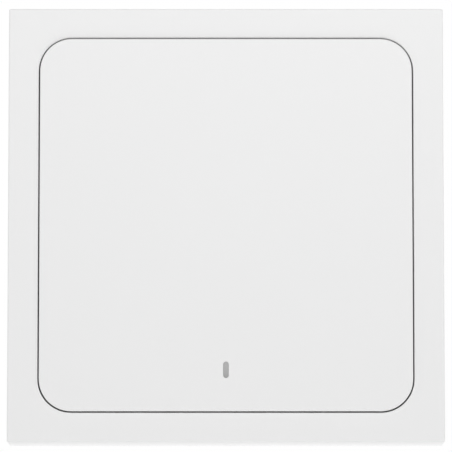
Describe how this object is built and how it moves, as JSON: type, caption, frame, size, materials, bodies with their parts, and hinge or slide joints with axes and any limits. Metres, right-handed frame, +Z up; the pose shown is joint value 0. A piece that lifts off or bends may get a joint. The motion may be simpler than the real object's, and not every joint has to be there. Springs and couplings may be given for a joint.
{
  "type": "smart button",
  "caption": "Square wall-mounted smart button: one large press cover hinged at its top edge in a square frame, with a small upright indicator slit and a coin cell inside.",
  "frame": {"origin": "centre of the wall plate's back, on the wall, midway between the screw slots", "axes": "+X to the right seen from the front, -Y out of the wall towards the user, +Z up"},
  "size_m": [0.08, 0.012, 0.08],
  "materials": {
    "frame_plastic": "fine satin moulded finish",
    "cover_plastic": "fine satin moulded finish",
    "lens_plastic": "grey translucent light guide, smooth",
    "chassis_plastic": "moulded, satin",
    "plate_plastic": "moulded, satin",
    "foam": "dark foam with a release film",
    "board_green": "solder mask over fibreglass",
    "screw_steel": "zinc plated",
    "cell_steel": "nickel plated, drawn",
    "gasket_plastic": "moulded",
    "contact_metal": "nickel plated spring strip",
    "switch_plastic": "moulded",
    "shell_steel": "tinned sheet",
    "plunger_rubber": "soft moulded",
    "led_plastic": "white case with a clear lens",
    "shroud_plastic": "moulded, white",
    "bumper_rubber": "soft strip",
    "module_board": "blue solder mask",
    "chip_resin": "moulded resin",
    "antenna_copper": "gold plated trace",
    "ceramic": "fired ceramic",
    "tantalum_resin": "moulded resin"
  },
  "bodies": {
    "housing": {"frame": "frame_plastic", "chassis": "chassis_plastic", "wall_plate": "plate_plastic", "adhesive_pad_left": "foam", "adhesive_pad_right": "foam", "circuit_board": "board_green", "board_screws": "screw_steel", "battery_can": "cell_steel", "battery_gasket": "gasket_plastic", "battery_cap": "cell_steel", "battery_positive_clip": "contact_metal", "battery_negative_spring": "contact_metal", "left_switch_base": "switch_plastic", "left_switch_terminals": "contact_metal", "left_switch_shell": "shell_steel", "left_switch_dome": "contact_metal", "right_switch_base": "switch_plastic", "right_switch_terminals": "contact_metal", "right_switch_shell": "shell_steel", "right_switch_dome": "contact_metal", "status_led": "led_plastic", "light_shroud": "shroud_plastic", "landing_bumpers": "bumper_rubber", "radio_board": "module_board", "radio_shield": "shell_steel", "radio_chip": "chip_resin", "radio_crystal": "shell_steel", "radio_antenna": "antenna_copper", "ceramic_capacitors": "ceramic", "chip_resistors": "chip_resin", "bulk_capacitor": "tantalum_resin"},
    "button": {"button_cover": "cover_plastic", "indicator_lens": "lens_plastic"},
    "left_plunger": {"left_switch_plunger": "plunger_rubber"},
    "right_plunger": {"right_switch_plunger": "plunger_rubber"}
  },
  "joints": [
    {"name": "button_press", "type": "hinge", "parent": "housing", "child": "button", "pos_m": [0, -0.007, 0.03], "axis": [1, 0, 0], "range_deg": [0, 1.1], "stiffness_Nm_per_rad": 1.2, "springref_deg": -2.86},
    {"name": "left_switch_press", "type": "slide", "parent": "housing", "child": "left_plunger", "axis": [0, 1, 0], "range_m": [0, 0.0006], "deforming": ["left_switch_dome"]},
    {"name": "right_switch_press", "type": "slide", "parent": "housing", "child": "right_plunger", "axis": [0, 1, 0], "range_m": [0, 0.0006], "deforming": ["right_switch_dome"]}
  ],
  "couplings": [
    {"joint": "left_switch_press", "follows": "button_press", "m_per_rad": 0.03},
    {"joint": "right_switch_press", "follows": "button_press", "m_per_rad": 0.03}
  ]
}
